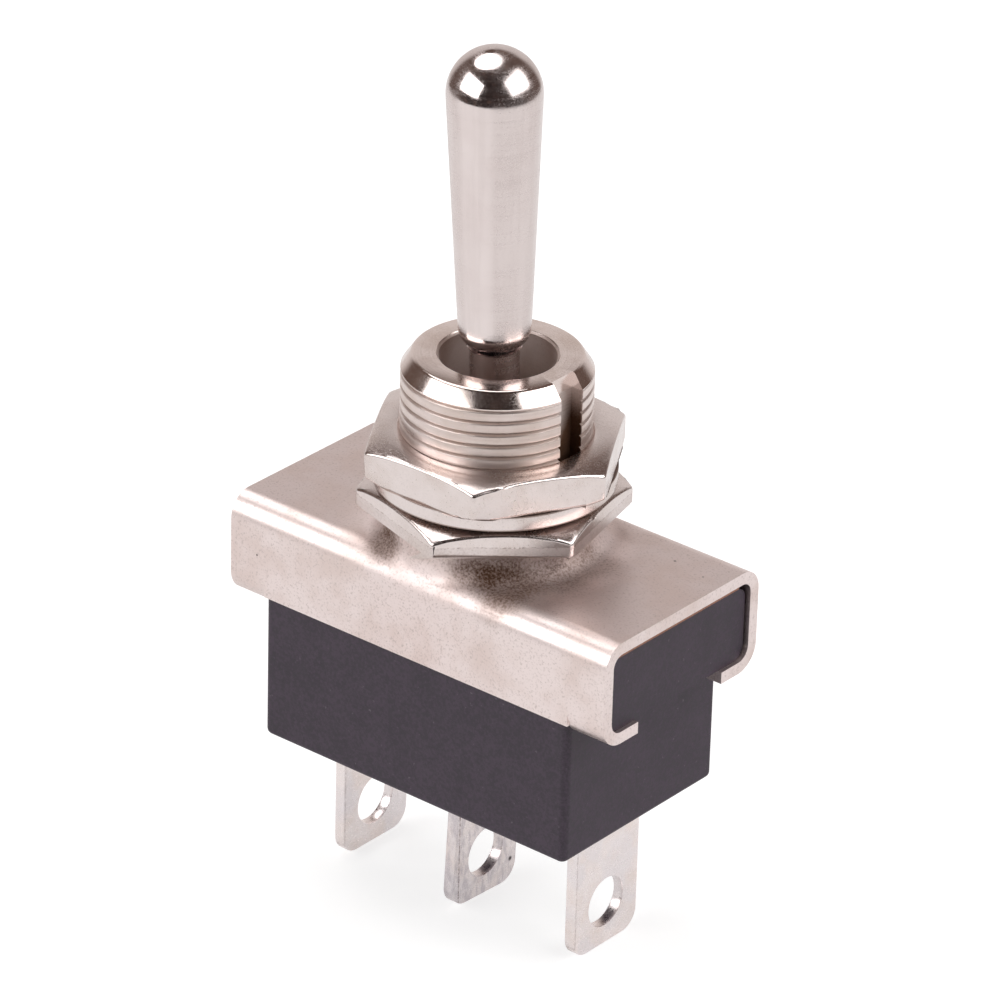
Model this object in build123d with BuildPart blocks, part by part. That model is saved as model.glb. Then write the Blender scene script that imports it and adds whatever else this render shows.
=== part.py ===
"""Panel toggle switch, on-off-on, with three solder lugs.

Millimetres. The origin is on the axis of the bush, at the top face of the front nut, where a
panel slipped over the bush comes to rest. +Z runs up the bush towards the lever, +X along the
frame, and the lever swings in the XZ plane.
"""
import os
from math import asin, atan2, cos, degrees, hypot, radians, sin, sqrt, tan

from build123d import *

os.makedirs("parts", exist_ok=True)

# Moulded base
body_width = 14.8
body_depth = 16.0
base_end_gap = 0.3
floor_thickness = 2.5
cavity_length = 21.2
cavity_width = 9.6
body_corner_r = 0.5
body_bottom_r = 0.4
card_thickness = 0.4

# Frame folded round the base
frame_length = 30.0
frame_height = 7.0
frame_proud = 0.1
frame_sheet = 0.8
top_bend_r = 1.6
tab_bend_r = 1.7
tab_length = 2.8
tab_reach = 3.4
boss_side = 0.9
boss_height = 1.9
boss_foot_r = 1.4
boss_edge = 0.4
boss_slope = 10.0

# Threaded bush: the free thread is drawn at its crests, what the nuts hold at its pitch line
thread_r = 5.95
crest_height = 0.26
free_thread = 5.0
bush_chamfer = 0.75
bore_r = 3.65
bore_chamfer = 0.15
tenon_ledge = 0.3
lip_gap = 0.1
lip_height = 0.7
keyway_width = 2.05
keyway_floor_r = 5.0

# Nuts and washer, stacked up from the boss
nut_across_flats = 14.9
back_nut_height = 1.95
back_nut_turn = 43.3
back_nut_top_r = 6.6
washer_proud = 0.15
washer_height = 0.95
washer_edge = 0.12
tongue_width = 1.85
front_nut_height = 2.4
front_nut_turn = 0.5
front_nut_under_r = 8.05
nut_chamfer_angle = 26.0
nut_bore_chamfer = 0.3

# Lever, turned in one piece
pivot_height = 3.2
swing = 12.0
rest_lean = 1.8
ball_r = 4.2
neck_r = 1.55
bat_start = 9.75
bat_low_r = 2.26
bat_round = 0.7
tip_r = 2.95
tip_centre = 26.0
shank_r = 2.2
shank_end = 8.4
shank_chamfer = 0.3
pin_r = 0.75
pin_length = 10.0

# Plunger and its spring, in the bore of the lever's shank
spring_bore_r = 1.3
spring_seat = 1.7
wire_r = 0.14
spring_turns = 5
wire_sides = 4
plunger_stem = 2.4
plunger_travel = 0.8
plunger_r = 1.6

# Terminals
lug_width = 6.2
lug_thickness = 0.75
lug_pitch = 9.5
lug_depth = 25.8
lug_corner_r = 1.3
lug_hole_r = 1.7
lug_hole_up = 3.0
lug_lean = 3.0
foot_reach = 4.6
foot_bend_r = 0.9
tenon_width = 3.0
tenon_head = 0.3
tenon_shoulder = 1.2

# Contacts, rocker and its cradle
contact_x = 7.0
fixed_head_r = 1.3
fixed_head = 0.6
fixed_edge = 0.2
fixed_shank_r = 0.8
moving_head_r = 1.2
moving_head = 0.5
moving_edge = 0.2
moving_shank_r = 0.7
rivet_upset_r = 1.0
rivet_upset = 0.25
rocker_width = 4.2
rocker_sheet = 0.6
rocker_flat = 1.2
rocker_end = 1.5
rocker_end_r = 1.0
rocker_ratio = 0.5
trunnion_r = 0.5
trunnion_length = 6.4
cradle_sheet = 0.6
cradle_length = 3.4
cradle_gap = 4.9
cradle_above_pin = 0.7

# Clearances
running_fit = 0.05
slide_fit = 0.08
ball_fit = 0.08
moulding_fit = 0.05
flange_fit = 0.15
contact_rest = 0.05
plunger_rest = 0.1
shank_clearance = 0.4

# Sizes that follow from those above
frame_width = body_width + 2 * frame_proud
body_length = frame_length - 2 * tab_length
base_length = frame_length - 2 * base_end_gap
core_width = frame_width - 2 * frame_sheet - 2 * flange_fit
inner_bend_r = top_bend_r - frame_sheet
boss_r = frame_width / 2 - boss_side
lip_r = boss_r - frame_sheet - lip_gap
tenon_r = lip_r - tenon_ledge
engaged_r = thread_r - crest_height
crest_run_in = nut_bore_chamfer - crest_height
nut_corner_r = nut_across_flats / 2 / cos(radians(30))
washer_r = nut_across_flats / 2 + washer_proud
seat_r = ball_r + ball_fit
seat_rise = sqrt(seat_r**2 - bore_r**2)

# Levels, down from the top face of the front nut
washer_top = -front_nut_height
back_nut_top = washer_top - washer_height
boss_top = back_nut_top - back_nut_height
frame_top = boss_top - boss_height
frame_bottom = frame_top - frame_height
boss_ceiling = boss_top - frame_sheet
card_top = frame_top - frame_sheet
card_bottom = card_top - card_thickness
flange_bottom = frame_bottom + frame_sheet
body_bottom = frame_top - body_depth
floor_top = body_bottom + floor_thickness
foot_top = floor_top + lug_thickness
lug_bottom = frame_top - lug_depth
pivot_z = frame_top + pivot_height
rocker_swing = rocker_ratio * swing
rocker_lean = rocker_ratio * rest_lean
trunnion_z = (
    foot_top
    + fixed_head
    + contact_rest
    + moving_head
    + rocker_sheet / 2
    + rocker_flat * sin(radians(rocker_swing))
)
plunger_tip = pivot_z - (trunnion_z + rocker_sheet / 2 + plunger_rest)


def side_view(across, height, turn):
    """Side-view plane at a point of the XZ plane, x across and y up, turned about Y towards +X."""
    angle = radians(turn)
    return Plane(origin=(across, 0, height), x_dir=(cos(angle), 0, -sin(angle)), z_dir=(0, -1, 0))


lever_view = side_view(0, pivot_z, -rest_lean)
lever_axis = Axis(lever_view.origin, lever_view.y_dir)
rocker_view = side_view(0, trunnion_z, rocker_lean)


# Frame: a channel with a drawn boss, its four corner tabs folded under the base
with BuildPart() as frame:
    with BuildSketch(Plane.YZ) as folded:
        with Locations((0, frame_top)):
            Rectangle(frame_width, frame_height, align=(Align.CENTER, Align.MAX))
        fillet(folded.vertices().group_by(Axis.Y)[-1], radius=top_bend_r)
        fillet(folded.vertices().group_by(Axis.Y)[0], radius=tab_bend_r)
    extrude(amount=frame_length / 2, both=True)
    with BuildSketch(Plane.YZ) as straight:
        with Locations((0, flange_bottom)):
            Rectangle(frame_width, 2 * tab_bend_r, align=(Align.CENTER, Align.MIN))
    extrude(amount=body_length / 2, both=True)
    with BuildSketch(Plane.YZ) as inside:
        with Locations((0, card_top)):
            Rectangle(
                frame_width - 2 * frame_sheet,
                frame_height - 2 * frame_sheet,
                align=(Align.CENTER, Align.MAX),
            )
        fillet(inside.vertices().group_by(Axis.Y)[-1], radius=inner_bend_r)
        fillet(inside.vertices().group_by(Axis.Y)[0], radius=tab_bend_r - frame_sheet)
        with Locations((0, frame_bottom)):
            Rectangle(frame_width - 2 * tab_reach, 2 * tab_bend_r)
    extrude(amount=frame_length / 2, both=True, mode=Mode.SUBTRACT)
    with BuildSketch(Plane.YZ):
        with Locations((0, frame_bottom)):
            Rectangle(frame_width - 2 * frame_sheet, 4 * tab_bend_r)
            Rectangle(frame_width, 2 * frame_sheet)
    extrude(amount=body_length / 2, both=True, mode=Mode.SUBTRACT)
    with BuildSketch(Plane.XY.offset(card_top)):
        Circle(boss_r + (boss_height + frame_sheet) * tan(radians(boss_slope)))
    extrude(amount=boss_height + frame_sheet, taper=boss_slope)
    fillet(frame.faces().sort_by(Axis.Z)[-1].edges(), radius=boss_edge)
    boss_wall = frame.faces().filter_by(GeomType.CONE).sort_by(Axis.Z)[-1]
    boss_foot = boss_wall.edges().filter_by(lambda edge: (edge @ 0.5).Z < frame_top + boss_foot_r)
    fillet(boss_foot, radius=boss_foot_r)
    with BuildSketch(Plane.XY.offset(card_top)):
        Circle(boss_r - frame_sheet + boss_height * tan(radians(boss_slope)))
    extrude(amount=boss_height, taper=boss_slope, mode=Mode.SUBTRACT)
    with BuildSketch(Plane.XY.offset(frame_top)):
        Circle(tenon_r)
    extrude(amount=boss_height, mode=Mode.SUBTRACT)

frame.part.label = "frame"
export_step(frame.part, "parts/frame.step")


# Bush: thread, ball seat and bore in one turned piece, its tenon and lip staked into the boss
with BuildPart() as bushing:
    with BuildSketch(Plane.XZ):
        with BuildLine():
            Polyline(
                (seat_r, pivot_z),
                (seat_r, boss_ceiling - lip_height),
                (lip_r, boss_ceiling - lip_height),
                (lip_r, boss_ceiling),
                (tenon_r, boss_ceiling),
                (tenon_r, boss_top),
                (engaged_r, boss_top),
                (engaged_r, back_nut_top - nut_bore_chamfer),
                (thread_r, back_nut_top - crest_run_in),
                (thread_r, washer_top + crest_run_in),
                (engaged_r, washer_top + nut_bore_chamfer),
                (engaged_r, -nut_bore_chamfer),
                (thread_r, -crest_run_in),
                (thread_r, free_thread - bush_chamfer),
                (thread_r - bush_chamfer, free_thread),
                (bore_r + bore_chamfer, free_thread),
                (bore_r, free_thread - bore_chamfer),
                (bore_r, pivot_z + seat_rise),
            )
            CenterArc((0, pivot_z), seat_r, 0, degrees(asin(seat_rise / seat_r)))
        make_face()
    revolve(axis=Axis.Z)
    with BuildSketch(Plane.XY.offset(boss_top)):
        with Locations((keyway_floor_r, 0)):
            Rectangle(thread_r, keyway_width, align=(Align.MIN, Align.CENTER))
    extrude(amount=free_thread - boss_top, mode=Mode.SUBTRACT)
    with BuildSketch(Plane.XZ):
        with Locations((0, pivot_z)):
            Circle(pin_r + running_fit)
            Rectangle(2 * (pin_r + running_fit), pivot_height, align=(Align.CENTER, Align.MAX))
    extrude(amount=pin_length / 2 + running_fit, both=True, mode=Mode.SUBTRACT)

bushing.part.label = "bushing"
export_step(bushing.part, "parts/bushing.step")


def hex_nut(bottom, height, turn, under_r, top_r):
    """Chamfered hexagon nut; under_r and top_r are the chamfer circles of its two ends."""
    slope = tan(radians(nut_chamfer_angle))
    top_drop = (nut_corner_r - top_r) * slope
    under_rise = (nut_corner_r - under_r) * slope
    with BuildPart() as nut:
        with BuildSketch(Plane.XY.offset(bottom)):
            RegularPolygon(nut_corner_r, side_count=6, rotation=turn)
            Circle(engaged_r, mode=Mode.SUBTRACT)
        extrude(amount=height)
        chamfer(nut.edges().filter_by(GeomType.CIRCLE), length=nut_bore_chamfer)
        with BuildSketch(Plane.XZ):
            Polygon(
                (0, bottom),
                (under_r, bottom),
                (nut_corner_r, bottom + under_rise),
                (nut_corner_r, bottom + height - top_drop),
                (top_r, bottom + height),
                (0, bottom + height),
                align=None,
            )
        revolve(axis=Axis.Z, mode=Mode.INTERSECT)
    return nut.part


back_nut = hex_nut(boss_top, back_nut_height, back_nut_turn, nut_corner_r, back_nut_top_r)
back_nut.label = "back_nut"
export_step(back_nut, "parts/back_nut.step")

front_nut = hex_nut(washer_top, front_nut_height, front_nut_turn, front_nut_under_r, nut_across_flats / 2)
front_nut.label = "front_nut"
export_step(front_nut, "parts/front_nut.step")


# Keyed washer: its tongue stands in the keyway of the bush
tongue_tip = keyway_floor_r + slide_fit
tongue_root = (thread_r + washer_r) / 2
with BuildPart() as keyed_washer:
    with BuildSketch(Plane.XY.offset(back_nut_top)):
        Circle(washer_r)
        Circle(thread_r + running_fit, mode=Mode.SUBTRACT)
        with Locations((tongue_tip, 0)):
            Rectangle(tongue_root - tongue_tip, tongue_width, align=(Align.MIN, Align.CENTER))
    extrude(amount=washer_height)
    rounds = keyed_washer.edges().filter_by(GeomType.CIRCLE)
    rims = rounds.filter_by(lambda edge: edge.radius > washer_r - washer_edge)
    chamfer(rims, length=washer_edge)

keyed_washer.part.label = "keyed_washer"
export_step(keyed_washer.part, "parts/keyed_washer.step")


# Lever: bat handle, neck, ball and shank turned in one piece, the shank bored for the spring
bat_reach = tip_centre - bat_start - bat_round
bat_taper = asin(tip_r / hypot(bat_low_r, bat_reach)) - atan2(bat_low_r, bat_reach)
with BuildPart() as lever:
    with BuildSketch(lever_view):
        with BuildLine():
            Polyline(
                (0, tip_centre + tip_r),
                (0, -spring_seat),
                (spring_bore_r, -spring_seat),
                (spring_bore_r, -shank_end),
                (shank_r - shank_chamfer, -shank_end),
                (shank_r, -shank_end + shank_chamfer),
                (shank_r, -sqrt(ball_r**2 - shank_r**2)),
            )
            low_edge = -degrees(asin(sqrt(ball_r**2 - shank_r**2) / ball_r))
            high_edge = degrees(asin(sqrt(ball_r**2 - neck_r**2) / ball_r))
            CenterArc((0, 0), ball_r, low_edge, high_edge - low_edge)
            Polyline(
                (neck_r, sqrt(ball_r**2 - neck_r**2)),
                (neck_r, bat_start),
                (bat_low_r - bat_round, bat_start),
            )
            CenterArc((bat_low_r - bat_round, bat_start + bat_round), bat_round, -90, 90)
            Line(
                (bat_low_r, bat_start + bat_round),
                (tip_r * cos(bat_taper), tip_centre - tip_r * sin(bat_taper)),
            )
            CenterArc((0, tip_centre), tip_r, -degrees(bat_taper), 90 + degrees(bat_taper))
        make_face()
    revolve(axis=lever_axis)
    with BuildSketch(lever_view):
        Circle(pin_r)
    extrude(amount=ball_r, both=True, mode=Mode.SUBTRACT)

lever.part.label = "lever"
export_step(lever.part, "parts/lever.step")


# Pivot pin: pressed through the ball, its ends turning in slots of the bush
with BuildPart() as pivot_pin:
    with BuildSketch(lever_view):
        Circle(pin_r)
    extrude(amount=pin_length / 2, both=True)

pivot_pin.part.label = "pivot_pin"
export_step(pivot_pin.part, "parts/pivot_pin.step")


# Plunger: round-ended nylon pin, its stem in the shank's bore and its tip over the rocker
plunger_shoulder = -shank_end - plunger_travel - moulding_fit
stem_top = -shank_end + plunger_stem
with BuildPart() as plunger:
    with BuildSketch(lever_view):
        with BuildLine():
            Polyline(
                (plunger_r, -plunger_tip + plunger_r),
                (plunger_r, plunger_shoulder),
                (spring_bore_r - slide_fit, plunger_shoulder),
                (spring_bore_r - slide_fit, stem_top),
                (0, stem_top),
                (0, -plunger_tip),
            )
            CenterArc((0, -plunger_tip + plunger_r), plunger_r, -90, 90)
        make_face()
    revolve(axis=lever_axis)

plunger.part.label = "plunger"
export_step(plunger.part, "parts/plunger.step")


# Plunger spring between the bore's end and the plunger's stem, its wire drawn with flats
coil_height = -spring_seat - stem_top - 2 * wire_r
coil_r = spring_bore_r - slide_fit - wire_r
with BuildPart() as plunger_spring:
    with BuildLine():
        coil = Helix(
            pitch=coil_height / spring_turns,
            height=coil_height,
            radius=coil_r,
            center=lever_view.origin + lever_view.y_dir * (stem_top + wire_r),
            direction=lever_view.y_dir,
        )
    with BuildSketch(Plane(origin=coil @ 0, z_dir=coil % 0)):
        RegularPolygon(wire_r, side_count=wire_sides)
    sweep(path=coil, is_frenet=True)

plunger_spring.part.label = "plunger_spring"
export_step(plunger_spring.part, "parts/plunger_spring.step")


# Insulating card between the frame and the base, with a slot for the lever's shank
card_slot = shank_r / cos(radians(swing)) + (pivot_z - card_bottom) * tan(radians(swing)) + shank_clearance
with BuildPart() as insulating_card:
    with BuildSketch(Plane.XY.offset(card_bottom)):
        Rectangle(base_length, frame_width - 2 * top_bend_r)
        SlotOverall(2 * card_slot, 2 * (shank_r + shank_clearance), mode=Mode.SUBTRACT)
    extrude(amount=card_thickness)

insulating_card.part.label = "insulating_card"
export_step(insulating_card.part, "parts/insulating_card.step")


# Base: flange held by the tabs, body between them, one cavity, slots for the lugs
with BuildPart() as base:
    with BuildSketch(Plane.YZ) as flange:
        with Locations((0, flange_bottom)):
            Rectangle(core_width, card_bottom - flange_bottom, align=(Align.CENTER, Align.MIN))
        fillet(flange.vertices().group_by(Axis.Y)[-1], radius=inner_bend_r)
        fillet(flange.vertices().group_by(Axis.Y)[0], radius=tab_bend_r - frame_sheet)
    extrude(amount=base_length / 2, both=True)
    with BuildSketch(Plane.XY.offset(flange_bottom)):
        Rectangle(body_length, core_width)
    extrude(amount=tab_bend_r)
    with BuildSketch(Plane.XY.offset(body_bottom)) as body:
        Rectangle(body_length, body_width)
        fillet(body.vertices(), radius=body_corner_r)
    extrude(amount=flange_bottom - body_bottom)
    fillet(base.faces().sort_by(Axis.Z)[0].edges(), radius=body_bottom_r)
    with BuildSketch(Plane.XY.offset(floor_top)) as cavity:
        Rectangle(cavity_length, cavity_width)
        fillet(cavity.vertices(), radius=body_corner_r)
    extrude(amount=body_depth, mode=Mode.SUBTRACT)
    with BuildSketch(Plane.XY.offset(body_bottom)):
        with Locations((-lug_pitch, 0), (lug_pitch, 0)):
            Rectangle(lug_thickness + 2 * moulding_fit, lug_width + 2 * moulding_fit)
        Rectangle(lug_thickness + 2 * moulding_fit, tenon_width + 2 * moulding_fit)
    extrude(amount=floor_thickness, mode=Mode.SUBTRACT)
    with BuildSketch(Plane.XY.offset(body_bottom)):
        Rectangle(lug_thickness + 2 * moulding_fit, lug_width + 2 * moulding_fit)
    extrude(amount=tenon_shoulder, mode=Mode.SUBTRACT)

base.part.label = "base"
export_step(base.part, "parts/base.step")


def outer_terminal(side):
    """Solder lug bent over the floor of the base, with a rivet hole in its foot."""
    with BuildPart() as lug:
        with BuildSketch(Plane.XZ) as bend:
            with Locations((side * (lug_pitch + lug_thickness / 2), foot_top)):
                corner = (Align.MAX if side > 0 else Align.MIN, Align.MAX)
                Rectangle(lug_thickness, foot_top - lug_bottom, align=corner)
                Rectangle(foot_reach, lug_thickness, align=corner)
            fillet(bend.vertices().group_by(Axis.Y)[-1].sort_by(Axis.X)[-1 if side > 0 else 0], radius=foot_bend_r)
        extrude(amount=lug_width / 2, both=True)
        fillet(lug.edges().filter_by(Axis.X).group_by(Axis.Z)[0], radius=lug_corner_r)
        with BuildSketch(Plane.YZ.offset(side * lug_pitch)):
            with Locations((0, lug_bottom + lug_hole_up)):
                Circle(lug_hole_r)
        extrude(amount=lug_thickness, both=True, mode=Mode.SUBTRACT)
        with BuildSketch(Plane.XY.offset(floor_top)):
            with Locations((side * contact_x, 0)):
                Circle(fixed_shank_r)
        extrude(amount=lug_thickness, mode=Mode.SUBTRACT)
    return lug.part


terminal_left = outer_terminal(-1)
terminal_left.label = "terminal_left"
export_step(terminal_left, "parts/terminal_left.step")

terminal_right = outer_terminal(1)
terminal_right.label = "terminal_right"
export_step(terminal_right, "parts/terminal_right.step")


# Middle lug: its tenon is peened over the cradle, and below the base it leans a little
lean = radians(lug_lean)
lean_view = Plane(origin=(0, 0, body_bottom), x_dir=(0, cos(lean), -sin(lean)), z_dir=(1, 0, 0))
hole_below = body_bottom - lug_bottom - lug_hole_up
middle_lug_below = body_bottom - lug_bottom
cradle_top = floor_top + cradle_sheet
with BuildPart() as terminal_centre:
    with BuildSketch(Plane.YZ):
        with Locations((0, body_bottom)):
            Rectangle(lug_width, tenon_shoulder, align=(Align.CENTER, Align.MIN))
            Rectangle(tenon_width, floor_thickness + cradle_sheet, align=(Align.CENTER, Align.MIN))
    extrude(amount=lug_thickness / 2, both=True)
    with BuildSketch(lean_view) as lower:
        with Locations((0, lug_width / 2 * tan(lean))):
            Rectangle(lug_width, middle_lug_below + lug_width / 2 * tan(lean), align=(Align.CENTER, Align.MAX))
        fillet(lower.vertices().group_by(Axis.Y)[0], radius=lug_corner_r)
        with Locations((0, -hole_below)):
            Circle(lug_hole_r, mode=Mode.SUBTRACT)
    extrude(amount=lug_thickness / 2, both=True)
    with BuildSketch(Plane.XY.offset(cradle_top)):
        Rectangle(lug_thickness + 2 * tenon_head, tenon_width + 2 * tenon_head)
    extrude(amount=tenon_head, taper=30)

terminal_centre.part.label = "terminal_centre"
export_step(terminal_centre.part, "parts/terminal_centre.step")


# Cradle: bracket on the floor whose two notched ears carry the rocker's trunnions
ear_top = trunnion_z + cradle_above_pin
with BuildPart() as cradle:
    with BuildSketch(Plane.YZ):
        with Locations((0, floor_top)):
            Rectangle(cradle_gap + 2 * cradle_sheet, ear_top - floor_top, align=(Align.CENTER, Align.MIN))
        with Locations((0, cradle_top)):
            Rectangle(cradle_gap, ear_top - cradle_top, align=(Align.CENTER, Align.MIN), mode=Mode.SUBTRACT)
    extrude(amount=cradle_length / 2, both=True)
    with BuildSketch(Plane.XZ):
        with Locations((0, trunnion_z)):
            Circle(trunnion_r + running_fit)
            Rectangle(2 * (trunnion_r + running_fit), 2 * cradle_above_pin, align=(Align.CENTER, Align.MIN))
    extrude(amount=cradle_gap, both=True, mode=Mode.SUBTRACT)
    with BuildSketch(Plane.XY.offset(floor_top)):
        Rectangle(lug_thickness, tenon_width)
    extrude(amount=cradle_sheet, mode=Mode.SUBTRACT)

cradle.part.label = "cradle"
export_step(cradle.part, "parts/cradle.step")


# Rocker: shallow V of brass strip on two trunnions; a closed wing lies level
wing_out = contact_x - rocker_flat * cos(radians(rocker_swing))


def wing_view(side, along):
    """Side-view plane on a wing's middle line, at a distance along it from the bend."""
    rise = radians(rocker_swing)
    place = (side * (rocker_flat + along * cos(rise)), along * sin(rise), 0)
    return Plane(rocker_view.location * Location(place, (0, 0, side * rocker_swing)))


wing_length = wing_out + rocker_end
with BuildPart() as rocker:
    with BuildSketch(rocker_view):
        Rectangle(2 * rocker_flat, rocker_sheet)
        with Locations((-rocker_flat, 0), (rocker_flat, 0)):
            Circle(rocker_sheet / 2)
    extrude(amount=rocker_width / 2, both=True)
    for side in (-1, 1):
        with BuildSketch(wing_view(side, 0)):
            with Locations((side * wing_length / 2, 0)):
                Rectangle(wing_length, rocker_sheet)
        extrude(amount=rocker_width / 2, both=True)
    tip_corners = rocker.edges().filter_by(lambda edge: abs(edge.length - rocker_sheet) < running_fit)
    fillet(tip_corners.group_by(Axis.X)[0] + tip_corners.group_by(Axis.X)[-1], radius=rocker_end_r)
    for side in (-1, 1):
        with BuildSketch(rocker_view.offset(side * trunnion_length / 2)):
            Circle(trunnion_r)
        extrude(amount=side * (rocker_width - trunnion_length) / 2)
    for side in (-1, 1):
        contact_view = wing_view(side, wing_out)
        with BuildSketch(Plane(origin=contact_view.origin, z_dir=contact_view.y_dir)):
            Circle(moving_shank_r)
        extrude(amount=rocker_sheet, both=True, mode=Mode.SUBTRACT)

rocker.part.label = "rocker"
export_step(rocker.part, "parts/rocker.step")


def moving_contact(side):
    """Rivet in a wing of the rocker, its flat head below."""
    view = wing_view(side, wing_out)
    half = rocker_sheet / 2
    with BuildPart() as rivet:
        with BuildSketch(view):
            with BuildLine():
                Polyline(
                    (0, -half - moving_head),
                    (moving_head_r - moving_edge, -half - moving_head),
                    (moving_head_r, moving_edge - half - moving_head),
                    (moving_head_r, -half),
                    (moving_shank_r, -half),
                    (moving_shank_r, half),
                    (rivet_upset_r, half),
                    (moving_shank_r, half + rivet_upset),
                    (0, half + rivet_upset),
                    close=True,
                )
            make_face()
        revolve(axis=Axis(view.origin, view.y_dir))
    return rivet.part


moving_contact_left = moving_contact(-1)
moving_contact_left.label = "moving_contact_left"
export_step(moving_contact_left, "parts/moving_contact_left.step")

moving_contact_right = moving_contact(1)
moving_contact_right.label = "moving_contact_right"
export_step(moving_contact_right, "parts/moving_contact_right.step")


def fixed_contact(side):
    """Rivet in the foot of an outer terminal, its flat head above."""
    view = side_view(side * contact_x, foot_top, 0)
    with BuildPart() as rivet:
        with BuildSketch(view):
            with BuildLine():
                Polyline(
                    (0, fixed_head),
                    (fixed_head_r - fixed_edge, fixed_head),
                    (fixed_head_r, fixed_head - fixed_edge),
                    (fixed_head_r, 0),
                    (fixed_shank_r, 0),
                    (fixed_shank_r, -lug_thickness),
                    (0, -lug_thickness),
                    close=True,
                )
            make_face()
        revolve(axis=Axis(view.origin, view.y_dir))
    return rivet.part


fixed_contact_left = fixed_contact(-1)
fixed_contact_left.label = "fixed_contact_left"
export_step(fixed_contact_left, "parts/fixed_contact_left.step")

fixed_contact_right = fixed_contact(1)
fixed_contact_right.label = "fixed_contact_right"
export_step(fixed_contact_right, "parts/fixed_contact_right.step")
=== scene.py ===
"""Dress of a panel toggle switch: plated metal parts, moulded base and a product-table studio.

Metres. The frame is the CAD part's: the origin is on the axis of the bush at the top face of the
front nut, +Z runs towards the lever. The sizes below are the part's own, in millimetres.
"""

from math import asin, atan2, cos, hypot, pi, radians, sin, sqrt, tan

import bpy
from mathutils import Matrix, Vector


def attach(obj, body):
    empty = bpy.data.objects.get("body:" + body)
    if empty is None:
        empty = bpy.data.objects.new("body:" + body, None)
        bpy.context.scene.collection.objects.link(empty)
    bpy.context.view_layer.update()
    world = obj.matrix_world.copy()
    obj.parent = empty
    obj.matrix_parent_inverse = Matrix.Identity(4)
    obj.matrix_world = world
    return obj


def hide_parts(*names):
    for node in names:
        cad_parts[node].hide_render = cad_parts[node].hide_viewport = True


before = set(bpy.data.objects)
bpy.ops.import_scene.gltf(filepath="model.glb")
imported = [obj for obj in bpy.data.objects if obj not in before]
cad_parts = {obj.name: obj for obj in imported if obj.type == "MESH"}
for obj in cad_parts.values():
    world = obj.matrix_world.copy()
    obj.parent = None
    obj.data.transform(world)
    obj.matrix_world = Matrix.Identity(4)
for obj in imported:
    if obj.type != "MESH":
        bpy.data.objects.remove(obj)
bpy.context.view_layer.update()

MM = 0.001
WELD = 0.000002

# Bush and thread
THREAD_R = 5.95
THREAD_PITCH = 0.79375
THREAD_ROOT_R = 5.76
PLAIN_COLLAR_R = 5.92
PLAIN_COLLAR_Z = 3.95
ENGAGED_R = 5.69
FREE_THREAD = 5.0
BUSH_CHAMFER = 0.68
CHAMFER_HEIGHT = 1.0
BORE_R = 3.65
BORE_CHAMFER = 0.15
LIP_R = 5.7
LIP_TOP = -6.1
BUSH_BOTTOM = -6.8
TENON_R = 5.4
KEYWAY_WIDTH = 2.05
KEYWAY_FLOOR_R = 5.0
SEAT_R = 4.28
SEAT_RISE = 2.235

# Nuts and washer
ACROSS_FLATS = 14.9
NUT_CORNER_R = 8.6025
NUT_BORE_CHAMFER = 0.3
NUT_CHAMFER_ANGLE = 26.0
CROWN_START = 1.05
BACK_NUT_TOP_R = 6.6
FRONT_NUT_BOTTOM = -2.4
FRONT_NUT_UNDER_R = 8.05
WASHER_R = 7.6
WASHER_BOTTOM = -3.35
TONGUE_WIDTH = 1.85
BOSS_TOP = -5.3

# Lever
PIVOT_Z = -4.0
REST_LEAN = 1.8
BALL_R = 4.2
NECK_R = 1.55
BAT_START = 9.42
BAT_LOW_R = 2.26
BAT_ROUND = 1.3
TIP_R = 2.95
TIP_CENTRE = 26.0
SHANK_R = 2.2
SHANK_END = 8.4
SHANK_CHAMFER = 0.3
PIN_R = 0.75
SPRING_BORE_R = 1.3
SPRING_SEAT = 1.7

TURN_STEPS = 112
FLOOR_Z = -33.1


# Shaping


def take(piece):
    """Make one piece the only one selected."""
    bpy.ops.object.select_all(action="DESELECT")
    piece.select_set(True)
    bpy.context.view_layer.objects.active = piece
    return piece


def named(name):
    piece = bpy.context.view_layer.objects.active
    piece.name = name
    piece.data.name = name
    return piece


def turn(name, outline, centre_z=0.0, steps=TURN_STEPS):
    """Turn a closed or axis-to-axis outline of (radius, height) points into a solid about Z."""
    bpy.ops.object.select_all(action="DESELECT")
    first = outline[0]
    start = (first[0] * MM, 0, (centre_z + first[1]) * MM)
    bpy.ops.mesh.primitive_plane_add(size=MM, location=start)
    piece = named(name)
    bpy.ops.object.mode_set(mode="EDIT")
    bpy.ops.mesh.select_all(action="SELECT")
    bpy.ops.mesh.merge(type="CENTER")
    for here, there in zip(outline, outline[1:]):
        step = ((there[0] - here[0]) * MM, 0, (there[1] - here[1]) * MM)
        bpy.ops.mesh.extrude_vertices_move(TRANSFORM_OT_translate={"value": step})
    bpy.ops.mesh.select_all(action="SELECT")
    bpy.ops.mesh.spin(steps=steps, angle=2 * pi, center=(0, 0, centre_z * MM), axis=(0, 0, 1))
    bpy.ops.mesh.select_all(action="SELECT")
    bpy.ops.mesh.remove_doubles(threshold=WELD)
    bpy.ops.mesh.normals_make_consistent(inside=False)
    bpy.ops.object.mode_set(mode="OBJECT")
    return settle(piece)


def arc(centre, radius, start, end, count):
    """Points of an arc, with both its ends, angles in degrees."""
    angles = [radians(start + (end - start) * i / count) for i in range(count + 1)]
    return [(centre[0] + radius * cos(a), centre[1] + radius * sin(a)) for a in angles]


def block(name, low, high):
    """A cutting or joining block between two corners, in millimetres."""
    bpy.ops.object.select_all(action="DESELECT")
    middle = [(a + b) / 2 * MM for a, b in zip(low, high)]
    size = [(b - a) * MM for a, b in zip(low, high)]
    bpy.ops.mesh.primitive_cube_add(size=1, location=middle, scale=size)
    bpy.ops.object.transform_apply(location=True, rotation=True, scale=True)
    return named(name)


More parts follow.
